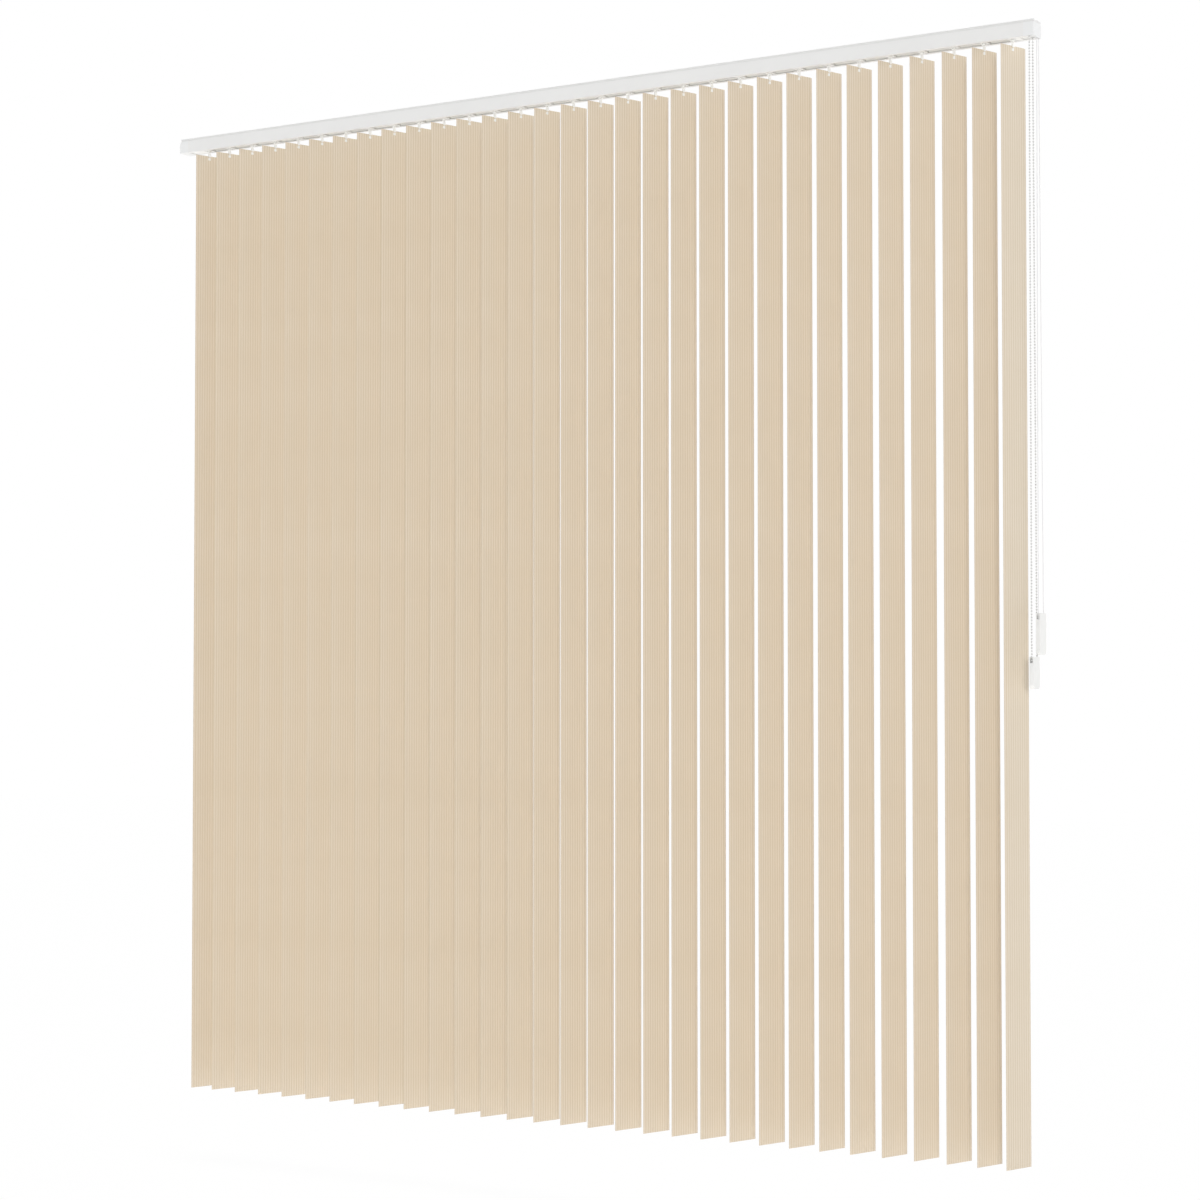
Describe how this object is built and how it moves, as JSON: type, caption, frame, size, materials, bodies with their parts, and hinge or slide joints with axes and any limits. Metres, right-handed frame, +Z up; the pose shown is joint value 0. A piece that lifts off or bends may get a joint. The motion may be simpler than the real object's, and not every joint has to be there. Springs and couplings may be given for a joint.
{
  "type": "vertical blind",
  "caption": "Vertical blind with flat ribbed slats hung from a white head rail, tilted by a bead chain and drawn by a cord loop, each with a hanging weight.",
  "frame": {"origin": "centre of the head rail's top face, where the rail is fixed to the ceiling", "axes": "+X along the rail towards the control end, +Y towards the window, +Z up"},
  "size_m": [2.6644, 0.0848, 2.7455],
  "materials": {
    "slat_pvc": "matte",
    "rail_paint": "satin",
    "cap_plastic": "satin",
    "acetal": "satin",
    "weight_plastic": "satin",
    "chain_plastic": "gloss",
    "cord_braid": "matte",
    "rod_aluminium": "satin",
    "link_plastic": "satin",
    "pin_steel": "polished"
  },
  "bodies": {
    "rail_assembly": {"head_rail": "rail_paint", "control_end_cap": "cap_plastic", "idler_end_cap": "cap_plastic", "carriers": "acetal", "spacer_links": "link_plastic", "cord_pulley_pin": "pin_steel", "idler_pin": "pin_steel", "tilt_chain": "chain_plastic", "traverse_cord": "cord_braid", "cord_runs": "cord_braid", "cord_grip": "acetal", "chain_weight_left_shell": "weight_plastic", "chain_weight_right_shell": "weight_plastic", "chain_weight_pin": "pin_steel", "cord_weight_left_shell": "weight_plastic", "cord_weight_right_shell": "weight_plastic", "cord_weight_pin": "pin_steel"},
    "tilt_drive": {"tilt_rod": "rod_aluminium", "rod_bush": "acetal", "chain_sprocket": "acetal", "worm_sleeves": "acetal"},
    "cord_pulley_front": {"cord_pulley_front": "acetal"},
    "cord_pulley_rear": {"cord_pulley_rear": "acetal"},
    "idler_pulley": {"idler_pulley": "acetal"},
    "chain_weight_wheel": {"chain_weight_wheel": "acetal"},
    "cord_weight_wheel": {"cord_weight_wheel": "acetal"},
    "slat_01": {"slat_01": "slat_pvc"},
    "slat_02": {"slat_02": "slat_pvc"},
    "slat_03": {"slat_03": "slat_pvc"},
    "slat_04": {"slat_04": "slat_pvc"},
    "slat_05": {"slat_05": "slat_pvc"},
    "slat_06": {"slat_06": "slat_pvc"},
    "slat_07": {"slat_07": "slat_pvc"},
    "slat_08": {"slat_08": "slat_pvc"},
    "slat_09": {"slat_09": "slat_pvc"},
    "slat_10": {"slat_10": "slat_pvc"},
    "slat_11": {"slat_11": "slat_pvc"},
    "slat_12": {"slat_12": "slat_pvc"},
    "slat_13": {"slat_13": "slat_pvc"},
    "slat_14": {"slat_14": "slat_pvc"},
    "slat_15": {"slat_15": "slat_pvc"},
    "slat_16": {"slat_16": "slat_pvc"},
    "slat_17": {"slat_17": "slat_pvc"},
    "slat_18": {"slat_18": "slat_pvc"},
    "slat_19": {"slat_19": "slat_pvc"},
    "slat_20": {"slat_20": "slat_pvc"},
    "slat_21": {"slat_21": "slat_pvc"},
    "slat_22": {"slat_22": "slat_pvc"},
    "slat_23": {"slat_23": "slat_pvc"},
    "slat_24": {"slat_24": "slat_pvc"},
    "slat_25": {"slat_25": "slat_pvc"},
    "slat_26": {"slat_26": "slat_pvc"},
    "slat_27": {"slat_27": "slat_pvc"},
    "slat_28": {"slat_28": "slat_pvc"},
    "slat_29": {"slat_29": "slat_pvc"},
    "slat_30": {"slat_30": "slat_pvc"},
    "slat_31": {"slat_31": "slat_pvc"}
  },
  "joints": [
    {"name": "slat_01_tilt", "type": "hinge", "parent": "rail_assembly", "child": "slat_01", "pos_m": [-1.24005, 0, -0.0575], "axis": [0, 0, 1], "range_deg": [-61.8, 98.2]},
    {"name": "slat_02_tilt", "type": "hinge", "parent": "rail_assembly", "child": "slat_02", "pos_m": [-1.16445, 0, -0.0575], "axis": [0, 0, 1], "range_deg": [-61.8, 98.2]},
    {"name": "slat_03_tilt", "type": "hinge", "parent": "rail_assembly", "child": "slat_03", "pos_m": [-1.0802, 0, -0.0575], "axis": [0, 0, 1], "range_deg": [-61.8, 98.2]},
    {"name": "slat_04_tilt", "type": "hinge", "parent": "rail_assembly", "child": "slat_04", "pos_m": [-0.99594, 0, -0.0575], "axis": [0, 0, 1], "range_deg": [-61.8, 98.2]},
    {"name": "slat_05_tilt", "type": "hinge", "parent": "rail_assembly", "child": "slat_05", "pos_m": [-0.91169, 0, -0.0575], "axis": [0, 0, 1], "range_deg": [-61.8, 98.2]},
    {"name": "slat_06_tilt", "type": "hinge", "parent": "rail_assembly", "child": "slat_06", "pos_m": [-0.82744, 0, -0.0575], "axis": [0, 0, 1], "range_deg": [-61.8, 98.2]},
    {"name": "slat_07_tilt", "type": "hinge", "parent": "rail_assembly", "child": "slat_07", "pos_m": [-0.74318, 0, -0.0575], "axis": [0, 0, 1], "range_deg": [-61.8, 98.2]},
    {"name": "slat_08_tilt", "type": "hinge", "parent": "rail_assembly", "child": "slat_08", "pos_m": [-0.65893, 0, -0.0575], "axis": [0, 0, 1], "range_deg": [-61.8, 98.2]},
    {"name": "slat_09_tilt", "type": "hinge", "parent": "rail_assembly", "child": "slat_09", "pos_m": [-0.57468, 0, -0.0575], "axis": [0, 0, 1], "range_deg": [-61.8, 98.2]},
    {"name": "slat_10_tilt", "type": "hinge", "parent": "rail_assembly", "child": "slat_10", "pos_m": [-0.49042, 0, -0.0575], "axis": [0, 0, 1], "range_deg": [-61.8, 98.2]},
    {"name": "slat_11_tilt", "type": "hinge", "parent": "rail_assembly", "child": "slat_11", "pos_m": [-0.40617, 0, -0.0575], "axis": [0, 0, 1], "range_deg": [-61.8, 98.2]},
    {"name": "slat_12_tilt", "type": "hinge", "parent": "rail_assembly", "child": "slat_12", "pos_m": [-0.32192, 0, -0.0575], "axis": [0, 0, 1], "range_deg": [-61.8, 98.2]},
    {"name": "slat_13_tilt", "type": "hinge", "parent": "rail_assembly", "child": "slat_13", "pos_m": [-0.23766, 0, -0.0575], "axis": [0, 0, 1], "range_deg": [-61.8, 98.2]},
    {"name": "slat_14_tilt", "type": "hinge", "parent": "rail_assembly", "child": "slat_14", "pos_m": [-0.15341, 0, -0.0575], "axis": [0, 0, 1], "range_deg": [-61.8, 98.2]},
    {"name": "slat_15_tilt", "type": "hinge", "parent": "rail_assembly", "child": "slat_15", "pos_m": [-0.06916, 0, -0.0575], "axis": [0, 0, 1], "range_deg": [-61.8, 98.2]},
    {"name": "slat_16_tilt", "type": "hinge", "parent": "rail_assembly", "child": "slat_16", "pos_m": [0.01509, 0, -0.0575], "axis": [0, 0, 1], "range_deg": [-61.8, 98.2]},
    {"name": "slat_17_tilt", "type": "hinge", "parent": "rail_assembly", "child": "slat_17", "pos_m": [0.09935, 0, -0.0575], "axis": [0, 0, 1], "range_deg": [-61.8, 98.2]},
    {"name": "slat_18_tilt", "type": "hinge", "parent": "rail_assembly", "child": "slat_18", "pos_m": [0.1836, 0, -0.0575], "axis": [0, 0, 1], "range_deg": [-61.8, 98.2]},
    {"name": "slat_19_tilt", "type": "hinge", "parent": "rail_assembly", "child": "slat_19", "pos_m": [0.26785, 0, -0.0575], "axis": [0, 0, 1], "range_deg": [-61.8, 98.2]},
    {"name": "slat_20_tilt", "type": "hinge", "parent": "rail_assembly", "child": "slat_20", "pos_m": [0.35211, 0, -0.0575], "axis": [0, 0, 1], "range_deg": [-61.8, 98.2]},
    {"name": "slat_21_tilt", "type": "hinge", "parent": "rail_assembly", "child": "slat_21", "pos_m": [0.43636, 0, -0.0575], "axis": [0, 0, 1], "range_deg": [-61.8, 98.2]},
    {"name": "slat_22_tilt", "type": "hinge", "parent": "rail_assembly", "child": "slat_22", "pos_m": [0.52061, 0, -0.0575], "axis": [0, 0, 1], "range_deg": [-61.8, 98.2]},
    {"name": "slat_23_tilt", "type": "hinge", "parent": "rail_assembly", "child": "slat_23", "pos_m": [0.60487, 0, -0.0575], "axis": [0, 0, 1], "range_deg": [-61.8, 98.2]},
    {"name": "slat_24_tilt", "type": "hinge", "parent": "rail_assembly", "child": "slat_24", "pos_m": [0.68912, 0, -0.0575], "axis": [0, 0, 1], "range_deg": [-61.8, 98.2]},
    {"name": "slat_25_tilt", "type": "hinge", "parent": "rail_assembly", "child": "slat_25", "pos_m": [0.77337, 0, -0.0575], "axis": [0, 0, 1], "range_deg": [-61.8, 98.2]},
    {"name": "slat_26_tilt", "type": "hinge", "parent": "rail_assembly", "child": "slat_26", "pos_m": [0.85763, 0, -0.0575], "axis": [0, 0, 1], "range_deg": [-61.8, 98.2]},
    {"name": "slat_27_tilt", "type": "hinge", "parent": "rail_assembly", "child": "slat_27", "pos_m": [0.94343, 0, -0.0575], "axis": [0, 0, 1], "range_deg": [-61.8, 98.2]},
    {"name": "slat_28_tilt", "type": "hinge", "parent": "rail_assembly", "child": "slat_28", "pos_m": [1.02923, 0, -0.0575], "axis": [0, 0, 1], "range_deg": [-61.8, 98.2]},
    {"name": "slat_29_tilt", "type": "hinge", "parent": "rail_assembly", "child": "slat_29", "pos_m": [1.11503, 0, -0.0575], "axis": [0, 0, 1], "range_deg": [-61.8, 98.2]},
    {"name": "slat_30_tilt", "type": "hinge", "parent": "rail_assembly", "child": "slat_30", "pos_m": [1.19453, 0, -0.0575], "axis": [0, 0, 1], "range_deg": [-61.8, 98.2]},
    {"name": "slat_31_tilt", "type": "hinge", "parent": "rail_assembly", "child": "slat_31", "pos_m": [1.26923, 0, -0.0575], "axis": [0, 0, 1], "range_deg": [-61.8, 98.2]},
    {"name": "rod_turn", "type": "hinge", "parent": "rail_assembly", "child": "tilt_drive", "pos_m": [0, -0.0085, -0.022], "axis": [1, 0, 0], "range_deg": [-741.6, 1178.4]},
    {"name": "chain_weight_wheel_turn", "type": "hinge", "parent": "rail_assembly", "child": "chain_weight_wheel", "pos_m": [1.31915, -0.0085, -1.5647], "axis": [1, 0, 0], "continuous": true},
    {"name": "cord_weight_wheel_turn", "type": "hinge", "parent": "rail_assembly", "child": "cord_weight_wheel", "pos_m": [1.32725, 0.0134, -1.4599], "axis": [1, 0, 0], "continuous": true},
    {"name": "cord_pulley_front_turn", "type": "hinge", "parent": "rail_assembly", "child": "cord_pulley_front", "pos_m": [1.32175, 0.00781, -0.0165], "axis": [0, 1, 0], "continuous": true},
    {"name": "cord_pulley_rear_turn", "type": "hinge", "parent": "rail_assembly", "child": "cord_pulley_rear", "pos_m": [1.32175, 0.019, -0.0165], "axis": [0, 1, 0], "continuous": true},
    {"name": "idler_pulley_turn", "type": "hinge", "parent": "rail_assembly", "child": "idler_pulley", "pos_m": [-1.31815, 0.0134, -0.011], "axis": [0, 0, 1], "continuous": true}
  ],
  "couplings": [
    {"joint": "slat_01_tilt", "follows": "slat_16_tilt", "ratio": 1},
    {"joint": "slat_02_tilt", "follows": "slat_16_tilt", "ratio": 1},
    {"joint": "slat_03_tilt", "follows": "slat_16_tilt", "ratio": 1},
    {"joint": "slat_04_tilt", "follows": "slat_16_tilt", "ratio": 1},
    {"joint": "slat_05_tilt", "follows": "slat_16_tilt", "ratio": 1},
    {"joint": "slat_06_tilt", "follows": "slat_16_tilt", "ratio": 1},
    {"joint": "slat_07_tilt", "follows": "slat_16_tilt", "ratio": 1},
    {"joint": "slat_08_tilt", "follows": "slat_16_tilt", "ratio": 1},
    {"joint": "slat_09_tilt", "follows": "slat_16_tilt", "ratio": 1},
    {"joint": "slat_10_tilt", "follows": "slat_16_tilt", "ratio": 1},
    {"joint": "slat_11_tilt", "follows": "slat_16_tilt", "ratio": 1},
    {"joint": "slat_12_tilt", "follows": "slat_16_tilt", "ratio": 1},
    {"joint": "slat_13_tilt", "follows": "slat_16_tilt", "ratio": 1},
    {"joint": "slat_14_tilt", "follows": "slat_16_tilt", "ratio": 1},
    {"joint": "slat_15_tilt", "follows": "slat_16_tilt", "ratio": 1},
    {"joint": "slat_17_tilt", "follows": "slat_16_tilt", "ratio": 1},
    {"joint": "slat_18_tilt", "follows": "slat_16_tilt", "ratio": 1},
    {"joint": "slat_19_tilt", "follows": "slat_16_tilt", "ratio": 1},
    {"joint": "slat_20_tilt", "follows": "slat_16_tilt", "ratio": 1},
    {"joint": "slat_21_tilt", "follows": "slat_16_tilt", "ratio": 1},
    {"joint": "slat_22_tilt", "follows": "slat_16_tilt", "ratio": 1},
    {"joint": "slat_23_tilt", "follows": "slat_16_tilt", "ratio": 1},
    {"joint": "slat_24_tilt", "follows": "slat_16_tilt", "ratio": 1},
    {"joint": "slat_25_tilt", "follows": "slat_16_tilt", "ratio": 1},
    {"joint": "slat_26_tilt", "follows": "slat_16_tilt", "ratio": 1},
    {"joint": "slat_27_tilt", "follows": "slat_16_tilt", "ratio": 1},
    {"joint": "slat_28_tilt", "follows": "slat_16_tilt", "ratio": 1},
    {"joint": "slat_29_tilt", "follows": "slat_16_tilt", "ratio": 1},
    {"joint": "slat_30_tilt", "follows": "slat_16_tilt", "ratio": 1},
    {"joint": "slat_31_tilt", "follows": "slat_16_tilt", "ratio": 1},
    {"joint": "rod_turn", "follows": "slat_16_tilt", "ratio": 12},
    {"joint": "chain_weight_wheel_turn", "follows": "slat_16_tilt", "ratio": 7.8424},
    {"joint": "cord_pulley_front_turn", "follows": "cord_weight_wheel_turn", "ratio": 2.9091},
    {"joint": "cord_pulley_rear_turn", "follows": "cord_weight_wheel_turn", "ratio": -2.9091},
    {"joint": "idler_pulley_turn", "follows": "cord_weight_wheel_turn", "ratio": 2.8588}
  ]
}
